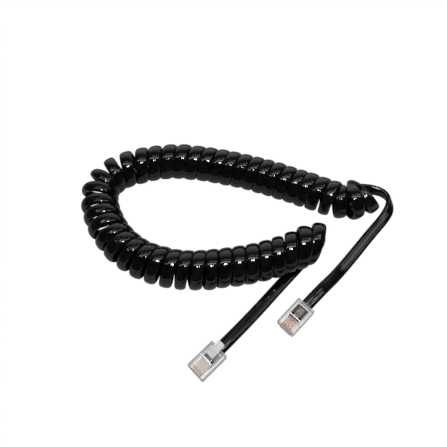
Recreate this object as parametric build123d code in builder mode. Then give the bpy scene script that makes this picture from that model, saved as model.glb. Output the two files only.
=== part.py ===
"""Coiled handset-type cord of a hand controller: a curly flat cord with a clear 4P4C plug on each end.

Millimetres, +Z up. The origin is at the middle of the part's outline, on the surface it lies on.
Plug a lies on its contact side, with its latch up. Plug b lies the other way up, on its latch.
Each plug is built on its own plane: origin where the cord leaves the rear face, local X towards the
nose, local Z towards the contact side.
"""

import os
from math import atan2, cos, degrees, pi, radians, sin, tan

from build123d import *

# ---------------------------------------------------------------- driving dimensions
CORD_WIDTH = 4.7
CORD_THICKNESS = 2.4
COIL_DIAMETER = 15.8

BODY_LENGTH = 12.0
BODY_WIDTH = 7.65
BODY_HEIGHT = 5.0
EDGE_RADIUS = 0.35
NOSE_CHAMFER = 0.6

ROOT_LENGTH = 1.0
ROOT_WIDTH = 5.0
ROOT_DROP = 1.5

LATCH_GAP = 0.15
LATCH_THICKNESS = 0.95
LATCH_SHOULDER = 5.7
LATCH_WIDE = 5.6
LATCH_NARROW = 3.1
LATCH_OVERHANG = 1.5
LATCH_DROP = 1.7
LATCH_HINGE_LIFT = 0.7
LATCH_SEAT = 0.05
LATCH_TIP_RADIUS = 0.62

CAVITY_WIDTH = 5.1
CAVITY_HEIGHT = 2.7
CAVITY_LENGTH = 6.6
JACKET_LENGTH = 6.3
CONDUCTORS = ("black", "red", "green", "yellow")
CONDUCTOR_DIAMETER = 0.95
CONDUCTOR_PITCH = 1.02
CONDUCTOR_END = 11.1
GALLERY_WIDTH = 4.3
GALLERY_HEIGHT = 1.3
GALLERY_END = 11.3

CONTACT_THICKNESS = 0.3
CONTACT_START = 8.1
CONTACT_LENGTH = 3.0
CONTACT_TOP = 2.1
CONTACT_TIP = -0.35
CONTACT_POINT = 0.45
CONTACT_ARCH = 1.08
CONTACT_CORNER_RADIUS = 0.35
SLOT_WIDTH = 0.4
SLOT_MARGIN = 0.2

WINDOW_START = 1.7
WINDOW_END = 6.4
WINDOW_WIDTH = 4.6
WIRE_WINDOW_START = 6.75
WIRE_WINDOW_END = 7.65
WIRE_WINDOW_WIDTH = 4.3
CLAMP_CLEARANCE = 0.1
# The jacket clamp's side outline: distances from its hinge, and depths below the plug's face.
CLAMP_RECESS = 0.1
CLAMP_HINGE_DEPTH = 0.6
CLAMP_TOP_LENGTH = 1.2
CLAMP_FOOT_START = 1.3
CLAMP_FOOT_END = 3.3
CLAMP_LENGTH = 3.6
CLAMP_NOSE_RISE = 0.5
WIRE_CLAMP_HEIGHT = 1.2
WIRE_CLAMP_RADIUS = 0.2

# Where each plug's cord leaves it, the heading of that cord, and how far the nose dips.
PLUG_A_EXIT = (-8.8, -40.5, BODY_HEIGHT / 2)
PLUG_A_HEADING = 44.4
PLUG_B_EXIT_XY = (24.2, -24.7)
PLUG_B_HEADING = 44.8
PLUG_B_DIP = degrees(atan2(LATCH_DROP, BODY_LENGTH + LATCH_OVERHANG))

# Arcs take this share of the shorter run on each side of a corner.
ARC_SHARE = 0.45

# ---------------------------------------------------------------- routes, chosen by hand
LYING_CLEARANCE = 0.05
FLAT = CORD_THICKNESS / 2 + LYING_CLEARANCE
COIL_AXIS = COIL_DIAMETER / 2

# The coil's axis. Its first end is lifted, because tail a runs under it.
COIL_ROUTE = [
    (32.5, 1.0, COIL_AXIS + 2.3),
    (26.2, -1.2, COIL_AXIS + 2.2),
    (19.0, -3.8, COIL_AXIS + 1.4),
    (9.8, -7.1, COIL_AXIS + 0.4),
    (-2.5, -9.4, COIL_AXIS),
    (-14.0, -10.9, COIL_AXIS),
    (-25.0, -11.1, COIL_AXIS),
    (-39.7, -7.1, COIL_AXIS),
    (-50.8, 1.9, COIL_AXIS),
    (-57.0, 11.7, COIL_AXIS),
    (-60.6, 21.2, COIL_AXIS),
    (-60.4, 30.3, COIL_AXIS),
    (-53.8, 37.3, COIL_AXIS),
    (-43.5, 41.2, COIL_AXIS),
    (-29.0, 43.8, COIL_AXIS),
    (-10.5, 40.9, COIL_AXIS),
    (9.6, 35.4, COIL_AXIS),
    (28.0, 27.8, COIL_AXIS),
    (42.5, 22.0, COIL_AXIS),
    (56.5, 22.8, COIL_AXIS),
]

# From plug a along the surface, under the coil's lifted end, then up into it.
TAIL_A_ROUTE = [
    PLUG_A_EXIT,
    (-2.1, -33.8, BODY_HEIGHT / 2),
    (6.2, -24.8, FLAT),
    (14.5, -15.6, FLAT),
    (20.2, -9.5, FLAT),
    (28.0, -1.2, FLAT),
    (31.0, 3.2, FLAT + 0.2),
    (29.4, 5.4, 5.6),
]

# From plug b up and down to the surface, round the tight bend and in behind the coil's other end.
PLUG_B_EXIT = (
    PLUG_B_EXIT_XY[0],
    PLUG_B_EXIT_XY[1],
    (BODY_HEIGHT / 2 + ROOT_DROP) * cos(radians(PLUG_B_DIP)) + BODY_LENGTH * sin(radians(PLUG_B_DIP)),
)
TAIL_B_ROUTE = [
    PLUG_B_EXIT,
    (29.9, -19.04, 6.48),
    (38.2, -10.5, 1.5),
    (46.6, -1.2, FLAT),
    (56.0, 9.6, FLAT),
    (62.4, 16.4, 1.4),
    (66.1, 21.8, 2.1),
    (66.4, 26.6, 2.4),
    (64.2, 29.8, 2.4),
    (59.8, 31.6, 2.2),
    (54.4, 32.2, 2.2),
    (50.0, 27.6, 3.4),
]


def corner_radii(route):
    """The largest tangent arc that each corner's two runs leave room for."""
    radii = []
    for before, corner, after in zip(route, route[1:], route[2:]):
        first = Vector(*corner) - Vector(*before)
        second = Vector(*after) - Vector(*corner)
        half_turn = radians(first.get_angle(second)) / 2
        radii.append(ARC_SHARE * min(first.length, second.length) / tan(half_turn))
    return radii


def report_tube(name, route, path_length, volume, section_area):
    """Prints what a route's tube measures, next to its section times its length."""
    radii = corner_radii(route)
    runs = [(Vector(*b) - Vector(*a)).length for a, b in zip(route, route[1:])]
    print(f"{name}: length {path_length:.1f}, volume {volume:.1f}, section x length "
          f"{section_area * path_length:.1f}")
    print("  runs " + " ".join(f"{run:.1f}" for run in runs))
    print("  radii " + " ".join(f"{radius:.1f}" for radius in radii))


def plug_plane(exit_point, heading, dip, contacts_up):
    """The plane of a plug whose cord leaves at exit_point along heading."""
    level = cos(radians(dip))
    to_nose = (-cos(radians(heading)) * level, -sin(radians(heading)) * level, -sin(radians(dip)))
    rise = sin(radians(dip))
    up = (-cos(radians(heading)) * rise, -sin(radians(heading)) * rise, level)
    if not contacts_up:
        up = tuple(-part for part in up)
    return Plane(origin=exit_point, x_dir=to_nose, z_dir=up)


def level_at(plug, height):
    """A plane parallel to the plug's own, at a local height."""
    return plug.offset(height)


def side_plane(plug, across):
    """The plug's lengthwise upright plane, at a local distance across: local X stays, local Y is up."""
    return Plane(origin=plug.from_local_coords((0, across, 0)), x_dir=plug.x_dir, z_dir=-plug.y_dir)


def rear_plane(plug, along):
    """The plane across the plug at a local distance along it, facing the nose."""
    return Plane(origin=plug.from_local_coords((along, 0, 0)), x_dir=plug.y_dir, z_dir=plug.x_dir)


os.makedirs("parts", exist_ok=True)


def save(part, name):
    """Labels a finished piece and writes it under its node's name."""
    part.label = name
    export_step(part, f"parts/{name}.step")


# ---------------------------------------------------------------- the coil and its two tails
with BuildPart() as coil:
    with BuildLine():
        axis = FilletPolyline(*COIL_ROUTE, radius=corner_radii(COIL_ROUTE))
    with BuildSketch(Plane(origin=axis @ 0, z_dir=axis % 0)):
        Circle(COIL_DIAMETER / 2)
    sweep(path=axis)
save(coil.part, "coil")
coil_area = pi * (COIL_DIAMETER / 2) ** 2
report_tube("coil", COIL_ROUTE, axis.length, coil.part.volume, coil_area)

flat_area = (CORD_WIDTH - CORD_THICKNESS) * CORD_THICKNESS + pi * (CORD_THICKNESS / 2) ** 2
for name, route in (("tail_a", TAIL_A_ROUTE), ("tail_b", TAIL_B_ROUTE)):
    with BuildPart() as tail:
        with BuildLine():
            centre = FilletPolyline(*route, radius=corner_radii(route))
        start = centre % 0
        with BuildSketch(Plane(origin=centre @ 0, x_dir=(-start.Y, start.X, 0), z_dir=start)):
            SlotOverall(CORD_WIDTH, CORD_THICKNESS)
        sweep(path=centre)
    save(tail.part, name)
    report_tube(name, route, centre.length, tail.part.volume, flat_area)


# ---------------------------------------------------------------- the two plugs
def build_housing(plug, name):
    """Clear body: cord cavity, conductor gallery, contact slots, two clamp windows, latch root."""
    with BuildPart() as housing:
        with BuildSketch(level_at(plug, -BODY_HEIGHT / 2)):
            with Locations((BODY_LENGTH / 2, 0)):
                Rectangle(BODY_LENGTH, BODY_WIDTH)
        extrude(amount=BODY_HEIGHT)
        across = housing.edges().filter_by(lambda edge: abs(edge.tangent_at(0.5).dot(plug.y_dir)) > 0.99)
        nose_top = across.sort_by(
            lambda edge: plug.to_local_coords(edge.center()).X + plug.to_local_coords(edge.center()).Z
        )[-1]
        chamfer(nose_top, NOSE_CHAMFER)
        lengthwise = housing.edges().filter_by(
            lambda edge: abs(edge.tangent_at(0.5).dot(plug.x_dir)) > 0.99
        )
        fillet(lengthwise, EDGE_RADIUS)
        with BuildSketch(rear_plane(plug, 0)):
            Rectangle(CAVITY_WIDTH, CAVITY_HEIGHT)
        extrude(amount=CAVITY_LENGTH, mode=Mode.SUBTRACT)
        with BuildSketch(rear_plane(plug, 0)):
            Rectangle(GALLERY_WIDTH, GALLERY_HEIGHT)
        extrude(amount=GALLERY_END, mode=Mode.SUBTRACT)
        slot_length = CONTACT_LENGTH + 2 * SLOT_MARGIN
        with BuildSketch(level_at(plug, 0)):
            with Locations((CONTACT_START - SLOT_MARGIN + slot_length / 2, 0)):
                with GridLocations(1, CONDUCTOR_PITCH, 1, len(CONDUCTORS)):
                    Rectangle(slot_length, SLOT_WIDTH)
        extrude(amount=BODY_HEIGHT, mode=Mode.SUBTRACT)
        with BuildSketch(level_at(plug, 0)):
            with Locations(((WINDOW_START + WINDOW_END) / 2, 0)):
                Rectangle(WINDOW_END - WINDOW_START, WINDOW_WIDTH)
            with Locations(((WIRE_WINDOW_START + WIRE_WINDOW_END) / 2, 0)):
                Rectangle(WIRE_WINDOW_END - WIRE_WINDOW_START, WIRE_WINDOW_WIDTH)
        extrude(amount=BODY_HEIGHT, mode=Mode.SUBTRACT)
        with BuildSketch(level_at(plug, -BODY_HEIGHT / 2 - ROOT_DROP)):
            with Locations((BODY_LENGTH - ROOT_LENGTH / 2, 0)):
                Rectangle(ROOT_LENGTH, ROOT_WIDTH)
        extrude(amount=ROOT_DROP + EDGE_RADIUS)
    save(housing.part, name)


def build_latch(plug, name):
    """Springy lever: a wide front with locking shoulders, then a narrow arm past the rear."""
    front = BODY_LENGTH - ROOT_LENGTH - LATCH_GAP
    underside = -BODY_HEIGHT / 2 - ROOT_DROP
    tip = -LATCH_OVERHANG
    with BuildPart() as latch:
        with BuildSketch(side_plane(plug, LATCH_WIDE / 2)):
            with BuildLine():
                Polyline(
                    (front, underside + LATCH_SEAT),
                    (tip, underside - LATCH_DROP),
                    (tip, underside - LATCH_DROP + LATCH_THICKNESS),
                    (front, underside + LATCH_THICKNESS + LATCH_SEAT),
                    close=True,
                )
            make_face()
        extrude(amount=LATCH_WIDE)
        shoulder = BODY_LENGTH - LATCH_SHOULDER
        arm_length = shoulder - tip
        side_cut = (LATCH_WIDE - LATCH_NARROW) / 2
        with BuildSketch(level_at(plug, underside - LATCH_DROP)):
            with Locations((tip + arm_length / 2, 0)):
                with GridLocations(1, LATCH_NARROW + side_cut, 1, 2):
                    Rectangle(arm_length, side_cut)
        extrude(amount=LATCH_DROP + 2 * LATCH_THICKNESS, mode=Mode.SUBTRACT)
        upright = latch.edges().filter_by(lambda edge: abs(edge.tangent_at(0.5).dot(plug.z_dir)) > 0.99)
        rearmost = upright.sort_by(lambda edge: plug.to_local_coords(edge.center()).X)[:2]
        fillet(rearmost, LATCH_TIP_RADIUS)
    save(latch.part, name)


def build_jacket(plug, name):
    """The flat jacket's stripped-back end, inside the plug."""
    with BuildPart() as jacket:
        with BuildSketch(rear_plane(plug, 0)):
            SlotOverall(CORD_WIDTH, CORD_THICKNESS)
        extrude(amount=JACKET_LENGTH)
    save(jacket.part, name)


def build_jacket_clamp(plug, name):
    """Bar that the crimp swings down on to the jacket, in the large window."""
    width = WINDOW_WIDTH - 2 * CLAMP_CLEARANCE
    face = BODY_HEIGHT / 2
    seat = CORD_THICKNESS / 2
    hinge = WINDOW_START + CLAMP_CLEARANCE
    with BuildPart() as clamp:
        with BuildSketch(side_plane(plug, width / 2)):
            with BuildLine():
                Polyline(
                    (hinge, face - CLAMP_RECESS),
                    (hinge, face - CLAMP_HINGE_DEPTH),
                    (hinge + CLAMP_FOOT_START, seat),
                    (hinge + CLAMP_FOOT_END, seat),
                    (hinge + CLAMP_LENGTH, seat + CLAMP_NOSE_RISE),
                    (hinge + CLAMP_TOP_LENGTH, face - CLAMP_RECESS),
                    close=True,
                )
            make_face()
        extrude(amount=width)
    save(clamp.part, name)


def build_wire_clamp(plug, name):
    """Small bar pressed on to the conductors, in the small window."""
    length = WIRE_WINDOW_END - WIRE_WINDOW_START - 2 * CLAMP_CLEARANCE
    width = WIRE_WINDOW_WIDTH - 2 * CLAMP_CLEARANCE
    seat = CONDUCTOR_DIAMETER / 2
    with BuildPart() as clamp:
        with BuildSketch(level_at(plug, seat)):
            with Locations(((WIRE_WINDOW_START + WIRE_WINDOW_END) / 2, 0)):
                RectangleRounded(length, width, WIRE_CLAMP_RADIUS)
        extrude(amount=WIRE_CLAMP_HEIGHT)
    save(clamp.part, name)


def build_conductor(plug, across, name):
    """One insulated conductor, from the jacket's cut end to under its contact."""
    with BuildPart() as conductor:
        with BuildSketch(rear_plane(plug, JACKET_LENGTH)):
            with Locations((across, 0)):
                Circle(CONDUCTOR_DIAMETER / 2)
        extrude(amount=CONDUCTOR_END - JACKET_LENGTH)
    save(conductor.part, name)


def build_contact(plug, across, name):
    """Gold-plated blade: a rounded top edge, and two points that pierce the conductor."""
    middle = CONTACT_START + CONTACT_LENGTH / 2
    end = CONTACT_START + CONTACT_LENGTH
    with BuildPart() as contact:
        with BuildSketch(side_plane(plug, across + CONTACT_THICKNESS / 2)):
            with BuildLine():
                Polyline(
                    (CONTACT_START, CONTACT_TOP),
                    (CONTACT_START, CONTACT_TIP + 2 * CONTACT_POINT),
                    (CONTACT_START + CONTACT_POINT, CONTACT_TIP),
                    (CONTACT_START + 2 * CONTACT_POINT, CONTACT_TIP + 2 * CONTACT_POINT),
                    (middle, CONTACT_TIP + CONTACT_ARCH),
                    (end - 2 * CONTACT_POINT, CONTACT_TIP + 2 * CONTACT_POINT),
                    (end - CONTACT_POINT, CONTACT_TIP),
                    (end, CONTACT_TIP + 2 * CONTACT_POINT),
                    (end, CONTACT_TOP),
                    close=True,
                )
            outline = make_face()
            top = outline.vertices().sort_by(Axis.Y)[-2:]
            fillet(top, CONTACT_CORNER_RADIUS)
        extrude(amount=CONTACT_THICKNESS)
    save(contact.part, name)


PLUGS = (
    ("a", plug_plane(PLUG_A_EXIT, PLUG_A_HEADING, 0, contacts_up=False)),
    ("b", plug_plane(PLUG_B_EXIT, PLUG_B_HEADING, PLUG_B_DIP, contacts_up=True)),
)
for letter, plug in PLUGS:
    build_housing(plug, f"plug_{letter}_housing")
    build_latch(plug, f"plug_{letter}_latch")
    build_jacket(plug, f"plug_{letter}_jacket")
    build_jacket_clamp(plug, f"plug_{letter}_jacket_clamp")
    build_wire_clamp(plug, f"plug_{letter}_wire_clamp")
    for index, colour in enumerate(CONDUCTORS):
        across = (index - (len(CONDUCTORS) - 1) / 2) * CONDUCTOR_PITCH
        build_conductor(plug, across, f"plug_{letter}_wire_{colour}")
        build_contact(plug, across, f"plug_{letter}_contact_{index + 1}")
    hinge = plug.from_local_coords((BODY_LENGTH - ROOT_LENGTH, 0, -BODY_HEIGHT / 2 - LATCH_HINGE_LIFT))
    nose = plug.from_local_coords((BODY_LENGTH, 0, 0))
    print(f"plug_{letter}: hinge {tuple(hinge)}, axis {tuple(plug.y_dir)}")
    print(f"plug_{letter}: nose {tuple(nose)}, faces {tuple(plug.x_dir)}, contacts {tuple(plug.z_dir)}")
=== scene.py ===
"""Coiled handset-type cord with a clear modular plug on each end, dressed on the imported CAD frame.

Metres, +Z up, in the CAD model's frame. The cord is one flat jacketed lead: tail a, the coil, tail b.
"""

import math

import bmesh
import bpy
import numpy as np
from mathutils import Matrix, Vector


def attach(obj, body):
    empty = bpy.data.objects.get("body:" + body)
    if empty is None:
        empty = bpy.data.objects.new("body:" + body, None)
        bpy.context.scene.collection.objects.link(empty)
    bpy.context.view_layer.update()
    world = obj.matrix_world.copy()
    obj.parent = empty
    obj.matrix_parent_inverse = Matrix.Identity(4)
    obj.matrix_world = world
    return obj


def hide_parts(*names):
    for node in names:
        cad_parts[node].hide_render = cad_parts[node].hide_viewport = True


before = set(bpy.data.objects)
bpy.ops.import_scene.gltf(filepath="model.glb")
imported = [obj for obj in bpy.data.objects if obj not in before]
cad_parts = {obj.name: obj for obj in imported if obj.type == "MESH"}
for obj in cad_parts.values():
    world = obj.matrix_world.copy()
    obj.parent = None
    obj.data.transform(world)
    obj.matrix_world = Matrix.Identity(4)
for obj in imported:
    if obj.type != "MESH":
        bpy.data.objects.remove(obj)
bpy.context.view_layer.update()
UP = np.array([0.0, 0.0, 1.0])

# ---------------------------------------------------------------- camera
CAMERA_PLACE = (-0.0072, -0.08507, 0.16679)
CAMERA_TILT_DEG = 31.0
CAMERA_LENS = 35.9
CAMERA_SENSOR = 36.0
CAMERA_CLIP = (0.005, 50.0)

camera_data = bpy.data.cameras.new("camera")
camera_data.lens = CAMERA_LENS
camera_data.sensor_width = CAMERA_SENSOR
camera_data.clip_start, camera_data.clip_end = CAMERA_CLIP
camera = bpy.data.objects.new("camera", camera_data)
camera.location = CAMERA_PLACE
camera.rotation_euler = (math.radians(CAMERA_TILT_DEG), 0.0, 0.0)
bpy.context.scene.collection.objects.link(camera)
bpy.context.scene.camera = camera

# ---------------------------------------------------------------- cord: sizes
CORD_WIDTH = 0.0047
CORD_THICKNESS = 0.0024
COIL_BAND = 0.0053
COIL_RADIUS = 0.0067
TURNS = 42.5
CONDUCTOR_PITCH = 0.00102
GROOVE = 0.00004
TAIL_SQUARENESS = 3.0
COIL_SQUARENESS = 2.1

# How finely the line is divided: in the coil, and along the tails and the coil's axis.
STEPS_PER_TURN = 32
STEP = 0.0009
AXIS_STEP = 0.0005

# ---------------------------------------------------------------- cord: the three routes, as control points
COIL_ROUTE = [
    (0.0325, 0.0010, 0.0102),
    (0.0262, -0.0012, 0.0101),
    (0.0190, -0.0038, 0.0093),
    (0.0098, -0.0071, 0.0083),
    (-0.0025, -0.0094, 0.0080),
    (-0.0140, -0.0109, 0.0080),
    (-0.0250, -0.0111, 0.0080),
    (-0.0397, -0.0071, 0.0080),
    (-0.0508, 0.0019, 0.0080),
    (-0.0570, 0.0117, 0.0080),
    (-0.0606, 0.0212, 0.0080),
    (-0.0604, 0.0303, 0.0080),
    (-0.0538, 0.0373, 0.0080),
    (-0.0435, 0.0412, 0.0080),
    (-0.0290, 0.0438, 0.0080),
    (-0.0105, 0.0409, 0.0080),
    (0.0096, 0.0354, 0.0080),
    (0.0280, 0.0278, 0.0080),
    (0.0385, 0.0233, 0.0080),
    (0.0436, 0.0206, 0.0080),
    (0.0520, 0.0213, 0.0080),
]
TAIL_A_ROUTE = [
    (-0.0088, -0.0405, 0.0025),
    (-0.0021, -0.0338, 0.0025),
    (0.0062, -0.0248, 0.00125),
    (0.0145, -0.0156, 0.00125),
    (0.0202, -0.0095, 0.00125),
    (0.0280, -0.0012, 0.00125),
    (0.0325, 0.0035, 0.0014),
    (0.0337, 0.0075, 0.0024),
]
TAIL_B_ROUTE = [
    (0.0242, -0.0247, 0.0054685),
    (0.0299, -0.01904, 0.00648),
    (0.0382, -0.0105, 0.0015),
    (0.0466, -0.0012, 0.00135),
    (0.0560, 0.0096, 0.00135),
    (0.0624, 0.0164, 0.0014),
    (0.0661, 0.0218, 0.0021),
    (0.0664, 0.0266, 0.0024),
    (0.0642, 0.0298, 0.0025),
    (0.0598, 0.0316, 0.0023),
    (0.0544, 0.0322, 0.0022),
    # the coil's last turn, swung open towards the tail
    (0.0498, 0.0318, 0.0032),
    (0.0482, 0.0306, 0.0065),
    (0.0480, 0.0286, 0.0100),
    (0.0490, 0.0254, 0.0128),
    (0.0514, 0.0212, 0.0136),
    (0.0546, 0.0174, 0.0120),
    (0.0566, 0.0178, 0.0083),
    (0.0582, 0.0198, 0.0041),
    (0.0570, 0.0222, 0.0017),
    (0.0548, 0.0258, 0.0015),
]


def spline_points(name, controls):
    """Points read off the smooth line that these control points pull into shape."""
    curve = bpy.data.curves.new(name, "CURVE")
    curve.dimensions = "3D"
    curve.resolution_u = 32
    spline = curve.splines.new("NURBS")
    spline.points.add(len(controls) - 1)
    for point, place in zip(spline.points, controls):
        point.co = (*place, 1.0)
    spline.order_u = 3
    spline.use_endpoint_u = True
    holder = bpy.data.objects.new(name, curve)
    bpy.context.scene.collection.objects.link(holder)
    mesh = bpy.data.meshes.new_from_object(holder)
    points = np.array([vertex.co[:] for vertex in mesh.vertices])
    bpy.data.objects.remove(holder)
    bpy.data.meshes.remove(mesh)
    bpy.data.curves.remove(curve)
    return points


def distances(points):
    """How far along its line each point lies."""
    steps = np.linalg.norm(np.diff(points, axis=0), axis=1)
    return np.concatenate([[0.0], np.cumsum(steps)])


def along(points, places):
    """The line's points at these distances along it."""
    reached = distances(points)
    return np.stack([np.interp(places, reached, points[:, axis]) for axis in range(3)], axis=1)


def unit(vectors):
    return vectors / np.linalg.norm(vectors, axis=-1, keepdims=True)


def smooth(values, reach):
    """A running average that keeps the ends."""
    before = np.repeat(values[:1], reach, axis=0)
    after = np.repeat(values[-1:], reach, axis=0)
    padded = np.concatenate([before, values, after])
    window = np.hanning(2 * reach + 3)[1:-1]
    window /= window.sum()
    if values.ndim == 1:
        return np.convolve(padded, window, mode="valid")
    columns = [np.convolve(column, window, mode="valid") for column in padded.T]
    return np.stack(columns, axis=1)


def rise(value, start, end):
    """Rises smoothly from 0 at start to 1 at end."""
    share = np.clip((value - start) / (end - start), 0.0, 1.0)
    return share * share * (3 - 2 * share)


def rise_and_fall(value, start, full, fading, end):
    """0 up to start, 1 from full to fading, and 0 again from end."""
    return rise(value, start, full) * (1 - rise(value, fading, end))


def read(table, value):
    """Reads a table of pairs at these values, in straight lines between its rows."""
    return np.interp(value, *zip(*table))


# ---------------------------------------------------------------- cord: the coil's turns
chance = np.random.default_rng(41)

AXIS_SMOOTHING = 8
axis_line = spline_points("coil_axis", COIL_ROUTE)
axis_places = np.arange(0.0, distances(axis_line)[-1], AXIS_STEP)
axis_points = smooth(along(axis_line, axis_places), AXIS_SMOOTHING)
axis_heading = unit(np.gradient(axis_points, AXIS_STEP, axis=0))

# Where along the axis some of the turns stand, as turns counted from plug a's end and metres: spread at
# the very end, close in the straight stretches, open round the bend.
TURN_PLACES = (
    (0.0, 0.0), (0.3, 0.0051), (1.3, 0.0083), (8.3, 0.0454), (11.3, 0.0609), (14.3, 0.0776),
    (19.2, 0.1062), (21.2, 0.1182), (24.2, 0.1379), (28.2, 0.1622), (30.2, 0.1732), (34.2, 0.1937),
    (38.2, 0.2132), (40.2, 0.2244), (40.85, 0.2275), (41.15, 0.2283), (41.85, 0.2327), (42.5, 0.2352),
)
# How far the turns are swung about the upright, in degrees and over which turns.
YAW_A_DEG = -18.0
YAW_A_TURNS = (1.0, 6.0)
YAW_B_DEG = 20.0
YAW_B_TURNS = (39.8, 41.2)
# How far the top of a turn leans back towards its start, as turns and degrees.
TILTS = (
    (0.3, 14.0), (1.3, 7.0), (2.3, 0.0), (38.0, 0.0), (39.0, 6.0), (40.0, 10.0), (41.1, 20.0), (42.0, 13.0),
    (42.5, 10.0),
)
# Where the radius differs: the turn, how many turns it reaches to either side, and metres.
RADIUS_CHANGES = ((41.2, 0.25, -0.0013), (1.25, 0.3, 0.0009))
# Small irregularities, from half turn to half turn.
WANDER_KEYS_APART = 0.5
PLACE_WANDER = 0.00016
YAW_WANDER_DEG = 1.2
RADIUS_WANDER = 0.00007
START_ANGLE = -0.25

turn = np.linspace(0.0, TURNS, int(round(TURNS * STEPS_PER_TURN)) + 1)
angle = 2 * math.pi * (turn + START_ANGLE)
wander_keys = np.arange(0, TURNS + 2, WANDER_KEYS_APART)


def wander(size):
    """A small smooth irregularity from turn to turn."""
    drawn = chance.normal(0.0, size, len(wander_keys))
    return smooth(np.interp(turn, wander_keys, drawn), STEPS_PER_TURN // 3)


def yawed(headings, degrees):
    """Headings turned about the upright."""
    turned_by = np.radians(degrees)
    c, s = np.cos(turned_by), np.sin(turned_by)
    x, y = headings[:, 0], headings[:, 1]
    return np.stack([c * x - s * y, s * x + c * y, headings[:, 2]], axis=1)


place = smooth(read(TURN_PLACES, turn), STEPS_PER_TURN // 4) + wander(PLACE_WANDER)
place = np.clip(place, 0, axis_places[-1])
centre = along(axis_points, place)
heading = unit(np.stack([np.interp(place, axis_places, axis_heading[:, k]) for k in range(3)], axis=1))
yaw = YAW_A_DEG * (1 - rise(turn, *YAW_A_TURNS)) + YAW_B_DEG * rise(turn, *YAW_B_TURNS)
heading = yawed(heading, yaw + wander(YAW_WANDER_DEG))
tilt = np.radians(read(TILTS, turn))
heading = unit(heading + np.tan(tilt)[:, None] * UP)
level_up = unit(UP - (heading @ UP)[:, None] * heading)
side = np.cross(heading, level_up)
radius = COIL_RADIUS + wander(RADIUS_WANDER)
for changed_turn, reach, change in RADIUS_CHANGES:
    radius += change * np.exp(-(((turn - changed_turn) / reach) ** 2))
radial = np.cos(angle)[:, None] * level_up - np.sin(angle)[:, None] * side
coil_line = centre + radius[:, None] * radial

# ---------------------------------------------------------------- cord: one line from plug a to plug b
LEAD_IN = 0.003


def tail_line(route, last, towards):
    """A tail's points, evenly spaced, ending at the coil's end and along its heading."""
    points = spline_points("tail", route + [tuple(last - towards), tuple(last)])
    length = distances(points)[-1]
    return along(points, np.linspace(0.0, length, int(round(length / STEP)) + 1))


start_heading = unit(coil_line[1] - coil_line[0])
end_heading = unit(coil_line[-1] - coil_line[-2])
tail_a_points = tail_line(TAIL_A_ROUTE, coil_line[0], LEAD_IN * start_heading)
tail_b_points = tail_line(TAIL_B_ROUTE, coil_line[-1], -LEAD_IN * end_heading)[::-1]
line = np.concatenate([tail_a_points[:-1], coil_line, tail_b_points[1:]])
first_coil = len(tail_a_points) - 1
last_coil = first_coil + len(coil_line) - 1
coil_rows = slice(first_coil, last_coil + 1)
travel = unit(np.gradient(line, axis=0))

# ---------------------------------------------------------------- cord: which way its face looks
# Down, and leaning a little, where tail a lies and runs under the coil; outwards round the coil and its
# open last turn; sideways where tail b stands on edge; and up where it lies flat again.
# Distances are metres along a tail: tail a's from plug a, tail b's from the coil's end.
TAIL_A_LEAN_DEG = 6.0
TAIL_A_LEAN = (0.0, 0.003, 0.045, 0.055)
OPEN_TURN_CENTRE = np.array([0.0525, 0.0245, 0.0079])
OPEN_TURN_END = (0.034, 0.044)
STANDING_LEAN_DEG = -45.0
STANDING_LEAN = (0.040, 0.048, 0.054, 0.063)
# Tail b lies down almost at once, and the last few degrees only as it nears its plug.
NEARLY_FLAT_DEG = 81.0
NEARLY_FLAT = (0.062, 0.078)
FLAT_DEG = 90.0
FLAT = (0.122, 0.134)
FACE_SMOOTHING = 6

face = np.zeros_like(line)
before = distances(tail_a_points)[:-1]
lean = np.radians(TAIL_A_LEAN_DEG * rise_and_fall(before, *TAIL_A_LEAN))[:, None]
face[:first_coil] = -np.cos(lean) * UP - np.sin(lean) * np.cross(UP, travel[:first_coil])
face[coil_rows] = radial
after = distances(tail_b_points)[1:]
outwards = unit(tail_b_points[1:] - OPEN_TURN_CENTRE)
sideways = np.cross(UP, travel[last_coil + 1:])
sideways_share = rise(after, *OPEN_TURN_END)[:, None]
standing = (1 - sideways_share) * outwards + sideways_share * sideways
leaning = STANDING_LEAN_DEG * rise_and_fall(after, *STANDING_LEAN)
lying = NEARLY_FLAT_DEG * rise(after, *NEARLY_FLAT) + (FLAT_DEG - NEARLY_FLAT_DEG) * rise(after, *FLAT)
lean = np.radians(leaning + lying)[:, None]
face[last_coil + 1:] = np.cos(lean) * standing + np.sin(lean) * UP
face = smooth(face, FACE_SMOOTHING)
face = unit(face - np.sum(face * travel, axis=1)[:, None] * travel)
across = np.cross(travel, face)

# ---------------------------------------------------------------- cord: how wide it is
# Wider in the coil than in the tails, and narrower where the turns stand close. A point's room is the
# distance from half a turn before it to half a turn after it, so it is measured on the coil's other side,
# and a turn can still press into the next one, most of all on the inside of the bend. At the coil's two
# ends the turns lean and lie partly over one another, so there they keep their width.
BACK_ROW_EXTRA = 0.0005
BACK_ROW_TURNS = (25.0, 26.5, 30.0, 32.0)
END_B_LESS = 0.0002
END_B_TURNS = (41.0, 41.2)
CROWDED_TURNS = (1.6, 2.6, 40.0, 40.6)
ROOM_SMOOTHING = 3

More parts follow.
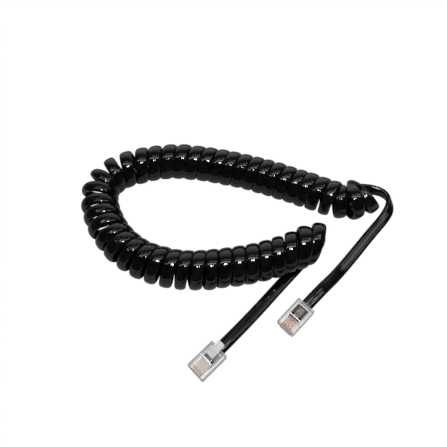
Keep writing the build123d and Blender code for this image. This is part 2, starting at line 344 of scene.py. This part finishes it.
in_coil = np.zeros(len(line))
in_coil[first_coil - STEPS_PER_TURN // 2:last_coil + 1] = 1.0
in_coil = smooth(in_coil, STEPS_PER_TURN // 2)
coil_band = COIL_BAND + BACK_ROW_EXTRA * rise_and_fall(turn, *BACK_ROW_TURNS)
coil_band -= END_B_LESS * rise(turn, *END_B_TURNS)
pitch = np.linalg.norm(coil_line[STEPS_PER_TURN:] - coil_line[:-STEPS_PER_TURN], axis=1)
coil_room = coil_band.copy()
coil_room[STEPS_PER_TURN // 2:STEPS_PER_TURN // 2 + len(pitch)] = pitch
crowded = rise_and_fall(turn, *CROWDED_TURNS)
room = np.full(len(line), COIL_BAND)
room[coil_rows] = coil_band + np.minimum(coil_room - coil_band, 0) * crowded
band = CORD_WIDTH + (smooth(room, ROOM_SMOOTHING) - CORD_WIDTH) * in_coil

# ---------------------------------------------------------------- cord: its mesh
FACE_POINTS = 27
CAP_POINTS = 3
FACE_SHARE = 0.84


def section(squareness):
    """The flat oval's outline, as shares of its width and in metres of thickness: two faces, each with
    three shallow grooves between the four conductors, and two rounded edges."""
    half = CORD_THICKNESS / 2
    flat = np.linspace(-FACE_SHARE, FACE_SHARE, FACE_POINTS)
    offset = flat * CORD_WIDTH / 2
    height = half * (1 - np.abs(flat) ** squareness) ** (1 / squareness)
    waves = (1 + np.cos(2 * math.pi * offset / CONDUCTOR_PITCH)) / 2
    height -= GROOVE * waves * (np.abs(offset) < 1.5 * CONDUCTOR_PITCH)
    cap_angle = math.acos(FACE_SHARE ** (squareness / 2))
    cap = np.linspace(cap_angle, -cap_angle, CAP_POINTS + 2)[1:-1]
    cap_x = np.cos(cap) ** (2 / squareness)
    cap_y = half * np.sign(np.sin(cap)) * np.abs(np.sin(cap)) ** (2 / squareness)
    xs = np.concatenate([flat, cap_x, flat[::-1], -cap_x[::-1]])
    ys = np.concatenate([height, cap_y, -height, cap_y[::-1]])
    return np.stack([xs[::-1] / 2, ys[::-1]])


coil_share = in_coil[:, None, None]
outline = (1 - coil_share) * section(TAIL_SQUARENESS) + coil_share * section(COIL_SQUARENESS)
ring = outline.shape[2]
rings = (
    line[:, None, :]
    + across[:, None, :] * (band[:, None] * outline[:, 0])[:, :, None]
    + face[:, None, :] * outline[:, 1][:, :, None]
)
count = len(line)
row, column = np.meshgrid(np.arange(count - 1), np.arange(ring), indexing="ij")
next_column = (column + 1) % ring
quads = np.stack(
    [
        row * ring + column,
        row * ring + next_column,
        (row + 1) * ring + next_column,
        (row + 1) * ring + column,
    ],
    axis=-1,
).reshape(-1, 4)
ends = [tuple(reversed(range(ring))), tuple((count - 1) * ring + k for k in range(ring))]
mesh = bpy.data.meshes.new("coiled_cord")
mesh.from_pydata(rings.reshape(-1, 3).tolist(), [], quads.tolist() + ends)
mesh.update()
mesh.shade_smooth()

# The jacket's pattern runs along the cord: across it in x, metres along it in y.
line_reach = distances(line)
corner_column = np.stack([column, column + 1, column + 1, column], axis=-1).reshape(-1)
corner_row = np.stack([row, row, row + 1, row + 1], axis=-1).reshape(-1)
end_rows = np.repeat([0, count - 1], ring)
end_columns = np.concatenate([np.arange(ring)[::-1], np.arange(ring)])
pattern = np.stack(
    [
        np.concatenate([corner_column, end_columns]) / ring,
        line_reach[np.concatenate([corner_row, end_rows])],
    ],
    axis=1,
)
mesh.uv_layers.new(name="along").data.foreach_set("uv", pattern.astype(np.float32).ravel())
cord = bpy.data.objects.new("coiled_cord", mesh)
bpy.context.scene.collection.objects.link(cord)

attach(cord, "cord")
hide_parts("coil", "tail_a", "tail_b")

# ---------------------------------------------------------------- node helpers


def material(name):
    made = bpy.data.materials.new(name)
    made.use_nodes = True
    tree = made.node_tree
    return made, tree, tree.nodes["Principled BSDF"]


def fill_socket(tree, socket, value):
    """Links another node's output to a socket, or sets the socket to a number or a colour."""
    if isinstance(value, bpy.types.NodeSocket):
        tree.links.new(value, socket)
    elif isinstance(value, tuple):
        socket.default_value = (*value, 1.0)
    else:
        socket.default_value = value


def calculated(tree, operation, *values, clamp=False):
    """A Math node's output."""
    node = tree.nodes.new("ShaderNodeMath")
    node.operation = operation
    node.use_clamp = clamp
    for socket, value in zip(node.inputs, values):
        fill_socket(tree, socket, value)
    return node.outputs["Value"]


def mixed(tree, factor, first, second):
    """A colour between two, each either a colour or another node's output."""
    node = tree.nodes.new("ShaderNodeMix")
    node.data_type = "RGBA"
    tree.links.new(factor, node.inputs["Factor"])
    fill_socket(tree, node.inputs["A"], first)
    fill_socket(tree, node.inputs["B"], second)
    return node.outputs["Result"]


def noise(tree, scale, detail=4.0, source=None, stretch=None):
    """A noise texture over the object's own coordinates, or over another source."""
    node = tree.nodes.new("ShaderNodeTexNoise")
    node.inputs["Scale"].default_value = scale
    node.inputs["Detail"].default_value = detail
    if source is None:
        source = tree.nodes.new("ShaderNodeTexCoord").outputs["Object"]
    if stretch is not None:
        mapping = tree.nodes.new("ShaderNodeMapping")
        mapping.inputs["Scale"].default_value = stretch
        tree.links.new(source, mapping.inputs["Vector"])
        source = mapping.outputs["Vector"]
    tree.links.new(source, node.inputs["Vector"])
    return node.outputs["Fac"]


def between(tree, factor, low, high, start=0.3, end=0.7):
    """Maps a value that runs from start to end on to low to high."""
    node = tree.nodes.new("ShaderNodeMapRange")
    node.inputs["From Min"].default_value = start
    node.inputs["From Max"].default_value = end
    node.inputs["To Min"].default_value = low
    node.inputs["To Max"].default_value = high
    tree.links.new(factor, node.inputs["Value"])
    return node.outputs["Result"]


def ramped(tree, factor, stops):
    """A colour ramp's output. The stops are positions and colours, in order."""
    node = tree.nodes.new("ShaderNodeValToRGB")
    elements = node.color_ramp.elements
    for index, (position, colour) in enumerate(stops):
        element = elements[index] if index < 2 else elements.new(position)
        element.position = position
        element.color = (*colour, 1.0)
    tree.links.new(factor, node.inputs["Fac"])
    return node.outputs["Color"]


def grey(level):
    return (level, level, level)


def tint(tree, factor, first, second):
    """A texture's value turned into a colour between two."""
    return ramped(tree, factor, ((0.35, first), (0.65, second)))


def bump(tree, height, strength, distance, normal=None):
    node = tree.nodes.new("ShaderNodeBump")
    node.inputs["Strength"].default_value = strength
    node.inputs["Distance"].default_value = distance
    tree.links.new(height, node.inputs["Height"])
    if normal is not None:
        tree.links.new(normal, node.inputs["Normal"])
    return node.outputs["Normal"]


# ---------------------------------------------------------------- materials: jacket, gold and wires


def jacket_material():
    """Glossy black, with faint streaks along the cord."""
    made, tree, shader = material("cord_jacket")
    shader.inputs["IOR"].default_value = 1.5
    shader.inputs["Specular IOR Level"].default_value = 0.5
    broad = noise(tree, 260.0)
    fine = noise(tree, 5200.0, 6.0)
    uv_node = tree.nodes.new("ShaderNodeUVMap")
    uv_node.uv_map = "along"
    streaks = noise(tree, 1.0, 3.0, uv_node.outputs["UV"], (34.0, 90.0, 1.0))
    black = tint(tree, broad, (0.0012, 0.0011, 0.0011), (0.0044, 0.0037, 0.0033))
    tree.links.new(black, shader.inputs["Base Color"])
    tree.links.new(between(tree, broad, 0.05, 0.1), shader.inputs["Roughness"])
    normal = bump(tree, streaks, 0.12, 0.00006)
    tree.links.new(bump(tree, fine, 0.05, 0.00002, normal), shader.inputs["Normal"])
    return made


def gold_material():
    made, tree, shader = material("contact_gold")
    shader.inputs["Metallic"].default_value = 1.0
    broad = noise(tree, 900.0)
    fine = noise(tree, 9000.0, 5.0)
    gold = tint(tree, broad, (0.64, 0.42, 0.27), (0.74, 0.52, 0.36))
    tree.links.new(gold, shader.inputs["Base Color"])
    tree.links.new(between(tree, fine, 0.6, 0.75), shader.inputs["Roughness"])
    tree.links.new(bump(tree, fine, 0.06, 0.00001), shader.inputs["Normal"])
    return made


WIRE_COLOURS = {
    "black": (0.36, 0.22, 0.17),
    "red": (0.95, 0.46, 0.32),
    "green": (0.70, 0.66, 0.40),
    "yellow": (0.97, 0.80, 0.54),
}
WIRE_DARKEST = 0.82


def wire_material(name, colour):
    """A conductor's insulation, washed out as it looks through the cloudy plug."""
    made, tree, shader = material(name)
    broad = noise(tree, 700.0)
    fine = noise(tree, 7000.0, 5.0)
    darker = tuple(c * WIRE_DARKEST for c in colour)
    tree.links.new(tint(tree, broad, darker, colour), shader.inputs["Base Color"])
    tree.links.new(between(tree, fine, 0.32, 0.5), shader.inputs["Roughness"])
    tree.links.new(bump(tree, fine, 0.05, 0.00001), shader.inputs["Normal"])
    return made


# ---------------------------------------------------------------- materials: clear plastic
# Each plug: where its cord leaves it, and which way its nose points.
PLUGS = {
    "a": (TAIL_A_ROUTE[0], (-0.71447, -0.69966, 0.0)),
    "b": (TAIL_B_ROUTE[0], (-0.70401, -0.69911, -0.12494)),
}
# The stretch of a plug that its ramps cover, from its rear face.
RAMP_START = -0.002
RAMP_LENGTH = 0.014
# Where the side walls begin, from the plug's middle line.
WALL_START = (0.0023, 0.0027)

# How cloudy each clear piece is along its plug, as metres from the rear face and opacity: the housing most
# at the bars beside its clamp windows, the latch along its arm and at its shoulders, and both least just
# behind the shoulders. Where the opacity passes 0.45 the colour turns white too, so the bars turn white,
# and the narrow white bands at the latch's shoulders and the housing's front bar are a painted highlight:
# the bright line where the shoulder's step catches the light.
BODY_CLOUD_AND_HIGHLIGHT = (
    (0.0, 0.26), (0.0013, 0.26), (0.00145, 0.7), (0.0017, 0.7), (0.0018, 0.26), (0.0046, 0.2),
    (0.0049, 0.05), (0.0063, 0.05), (0.0064, 0.85), (0.0067, 0.85), (0.0068, 0.36), (0.0110, 0.44),
)
LATCH_CLOUD_AND_HIGHLIGHT = (
    (-0.0015, 0.5), (0.0045, 0.44), (0.0049, 0.03), (0.0060, 0.03), (0.0062, 0.95), (0.0065, 0.95),
    (0.0067, 0.22), (0.0110, 0.22),
)
CLAMP_CLOUD = ((0.0, 0.12), (0.0110, 0.12))
WALL_CLOUD = 0.45
# Where the housing's front half, over the contacts, takes over from the rear half.
FRONT_SHARE = ((0.0064, 0.0), (0.0070, 1.0))

BODY_COLOUR = (0.60, 0.59, 0.59)
# Painted shade: the grey mixed in at the housing's rim, where it is seen at a slant.
BODY_RIM_SHADE = (0.50, 0.49, 0.49)
FRONT_COLOUR = (0.72, 0.55, 0.47)
# Painted shade: the housing's side walls are painted a darker grey than its top.
WALL_SHADE_COLOUR = (0.48, 0.48, 0.47)
LATCH_COLOUR = (0.97, 0.96, 0.97)
# Painted shade: the grey mixed in at the latch's rim.
LATCH_RIM_SHADE = (0.5, 0.5, 0.5)
CLAMP_COLOUR = (0.30, 0.27, 0.25)
# Painted shade: the grey mixed in at the clamp's rim.
CLAMP_RIM_SHADE = (0.3, 0.3, 0.3)
# The white the pieces turn to where they are cloudiest: the frosting's white, and at the shoulders a
# painted highlight.
CLOUD_AND_HIGHLIGHT_WHITE = (0.92, 0.91, 0.92)
PATCH_DARKEST = 0.82
RIM_OPACITY = 0.5


def reached(tree, direction):
    """How far along a direction each point of the object lies."""
    node = tree.nodes.new("ShaderNodeVectorMath")
    node.operation = "DOT_PRODUCT"
    tree.links.new(tree.nodes.new("ShaderNodeTexCoord").outputs["Object"], node.inputs[0])
    node.inputs[1].default_value = tuple(direction)
    return node.outputs["Value"]


def along_plug(tree, letter, stops):
    """A value that changes along a plug: stops are distances from its rear face, in metres, and values."""
    exit_point, nose = PLUGS[letter]
    start = float(np.dot(exit_point, nose)) + RAMP_START
    share = between(tree, reached(tree, nose), 0.0, 1.0, start, start + RAMP_LENGTH)
    return ramped(tree, share, [((far - RAMP_START) / RAMP_LENGTH, grey(value)) for far, value in stops])


def in_side_wall(tree, letter):
    """1 in a plug's two side walls and 0 between them."""
    exit_point, nose = PLUGS[letter]
    sideways = unit(np.cross(nose, UP))
    offset = calculated(tree, "SUBTRACT", reached(tree, sideways), float(np.dot(exit_point, sideways)))
    return between(tree, calculated(tree, "ABSOLUTE", offset), 0.0, 1.0, *WALL_START)


def clear_material(name, letter, cloud_and_highlight, colour, rim_shade, front=None, wall_shade=None):
    """Clear moulded plastic: face on it is as cloudy as the stops along the plug say, and where they pass
    0.45 it turns white, a painted highlight at the latch's shoulders and the housing's front bar. Its grey
    rim where it is seen at a slant is painted shade. The housing's front half has its own colour, and its
    side walls a darker grey that is painted shade."""
    made, tree, shader = material(name)
    shader.inputs["IOR"].default_value = 1.5
    patches = noise(tree, 420.0)
    fine = noise(tree, 2600.0, 5.0)
    slant = tree.nodes.new("ShaderNodeLayerWeight")
    slant.inputs["Blend"].default_value = 0.35
    at_rim = between(tree, slant.outputs["Facing"], 0.0, 1.0, 0.1, 0.85)
    cloud_and_highlight_share = along_plug(tree, letter, cloud_and_highlight)
    body = tint(tree, patches, tuple(PATCH_DARKEST * c for c in colour), colour)
    if front is not None:
        body = mixed(tree, along_plug(tree, letter, FRONT_SHARE), body, front)
    # Painted shade: a grey rim where the piece is seen at a slant.
    body = mixed(tree, at_rim, body, rim_shade)
    # Where the opacity passes 0.45 the colour turns white: at the shoulders this is a painted highlight.
    body = mixed(tree, between(tree, cloud_and_highlight_share, 0.0, 1.0, 0.45, 0.8), body, CLOUD_AND_HIGHLIGHT_WHITE)
    # Painted shade: the side walls get a darker grey and are more opaque.
    if wall_shade is not None:
        walled = in_side_wall(tree, letter)
        body = mixed(tree, walled, body, wall_shade)
        cloud_and_highlight_share = mixed(tree, walled, cloud_and_highlight_share, grey(WALL_CLOUD))
    tree.links.new(body, shader.inputs["Base Color"])
    opacity = calculated(tree, "MULTIPLY_ADD", at_rim, RIM_OPACITY, cloud_and_highlight_share, clamp=True)
    tree.links.new(opacity, shader.inputs["Alpha"])
    tree.links.new(between(tree, patches, 0.16, 0.26), shader.inputs["Roughness"])
    tree.links.new(bump(tree, fine, 0.04, 0.00003), shader.inputs["Normal"])
    return made


# ---------------------------------------------------------------- which piece has which material


def dress(thing, made):
    """Gives a piece or CAD node its material."""
    thing.data.materials.clear()
    thing.data.materials.append(made)


jacket = jacket_material()
bodies, latches, clamps = {}, {}, {}
for letter in PLUGS:
    bodies[letter] = clear_material(
        f"plug_{letter}_clear", letter, BODY_CLOUD_AND_HIGHLIGHT, BODY_COLOUR, BODY_RIM_SHADE, FRONT_COLOUR, WALL_SHADE_COLOUR
    )
    latches[letter] = clear_material(f"latch_{letter}_clear", letter, LATCH_CLOUD_AND_HIGHLIGHT, LATCH_COLOUR, LATCH_RIM_SHADE)
    clamps[letter] = clear_material(f"clamp_{letter}_clear", letter, CLAMP_CLOUD, CLAMP_COLOUR, CLAMP_RIM_SHADE)
gold = gold_material()
wires = {name: wire_material(f"wire_{name}", colour) for name, colour in WIRE_COLOURS.items()}

dress(cord, jacket)
for name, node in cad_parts.items():
    if name.endswith("_housing"):
        dress(node, bodies[name[len("plug_")]])
    elif name.endswith("_latch"):
        dress(node, latches[name[len("plug_")]])
    elif name.endswith("_clamp"):
        dress(node, clamps[name[len("plug_")]])
    elif "_contact_" in name:
        dress(node, gold)
    elif "_wire_" in name:
        dress(node, wires[name.rsplit("_", 1)[1]])
    else:
        dress(node, jacket)

# ---------------------------------------------------------------- floor
FLOOR_HALF_SIDE = 4.0
FLOOR_SHADE = 0.38
GLOW_STRENGTH = 1.03
GLOW_SHARE = 0.97


def seen_directly(tree):
    """1 for what the camera sees by itself or through the clear plugs, and 0 for what lights or mirrors."""
    path = tree.nodes.new("ShaderNodeLightPath")
    return calculated(tree, "MAXIMUM", path.outputs["Is Camera Ray"], path.outputs["Is Transmission Ray"])


floor_mesh = bpy.data.meshes.new("floor")
floor_build = bmesh.new()
bmesh.ops.create_grid(floor_build, x_segments=24, y_segments=24, size=FLOOR_HALF_SIDE)
floor_build.to_mesh(floor_mesh)
floor_build.free()
floor = bpy.data.objects.new("floor", floor_mesh)
bpy.context.scene.collection.objects.link(floor)
floor_material, tree, shader = material("floor")
shader.inputs["Base Color"].default_value = (*grey(FLOOR_SHADE), 1.0)
tree.links.new(between(tree, noise(tree, 30.0), 0.75, 0.9), shader.inputs["Roughness"])
glow = tree.nodes.new("ShaderNodeEmission")
glow.inputs["Color"].default_value = (1.0, 1.0, 1.0, 1.0)
glow.inputs["Strength"].default_value = GLOW_STRENGTH
floor_mix = tree.nodes.new("ShaderNodeMixShader")
tree.links.new(calculated(tree, "MULTIPLY", seen_directly(tree), GLOW_SHARE), floor_mix.inputs["Fac"])
tree.links.new(shader.outputs["BSDF"], floor_mix.inputs[1])
tree.links.new(glow.outputs["Emission"], floor_mix.inputs[2])
tree.links.new(floor_mix.outputs["Shader"], tree.nodes["Material Output"].inputs["Surface"])
dress(floor, floor_material)

# ---------------------------------------------------------------- lights
# Each light: where it is, where it aims, its size and its radiance. The lamp gives each turn its bright
# dot, the strip the thin arc behind the dot, the softbox the dim patch behind that, and the side box the
# streak along tail b. The fill only brightens the plugs' fronts and isn't mirrored.
LIGHTS = {
    "strip": ((0.0, 0.022, 0.30), (0.0, 0.022, 0.0), (0.44, 0.020), 7.5),
    "softbox": ((0.0, 0.085, 0.30), (0.0, 0.085, 0.0), (0.30, 0.080), 0.62),
    "side": ((0.23, 0.10, 0.30), (0.23, 0.10, 0.0), (0.13, 0.10), 2.0),
    "lamp": ((0.010, -0.034, 0.24), (0.0, 0.0, 0.0), (0.035, 0.028), 92.0),
    "fill": ((0.0, -0.40, 0.22), (0.0, 0.0, 0.0), (0.60, 0.30), 2.0),
}

for name, (spot, target, size, radiance) in LIGHTS.items():
    light_data = bpy.data.lights.new(name, "AREA")
    light_data.shape = "RECTANGLE"
    light_data.size, light_data.size_y = size
    light_data.energy = radiance * math.pi * size[0] * size[1]
    light = bpy.data.objects.new(name, light_data)
    light.location = spot
    light.rotation_mode = "QUATERNION"
    light.rotation_quaternion = (Vector(target) - Vector(spot)).to_track_quat("-Z", "Y")
    bpy.context.scene.collection.objects.link(light)
    if name == "fill":
        light.visible_glossy = False
        light.visible_camera = False

# ---------------------------------------------------------------- world
# How bright the surroundings are, by how far to the back they lie: dark in front, behind the camera, and
# bright low down at the back.
WORLD_LEVELS = ((0.0, 0.02), (0.2, 0.03), (0.5, 0.05), (0.64, 0.18), (0.75, 0.55), (1.0, 0.95))

world = bpy.data.worlds.new("world")
bpy.context.scene.world = world
world.use_nodes = True
tree = world.node_tree
direction = tree.nodes.new("ShaderNodeSeparateXYZ")
tree.links.new(tree.nodes.new("ShaderNodeTexCoord").outputs["Generated"], direction.inputs["Vector"])
mirrored = ramped(tree, direction.outputs["Y"], [(back, grey(level)) for back, level in WORLD_LEVELS])
background = tree.nodes["Background"]
tree.links.new(mixed(tree, seen_directly(tree), mirrored, (1.0, 1.0, 1.0)), background.inputs["Color"])
background.inputs["Strength"].default_value = 1.0

bpy.context.scene.view_settings.view_transform = "Standard"
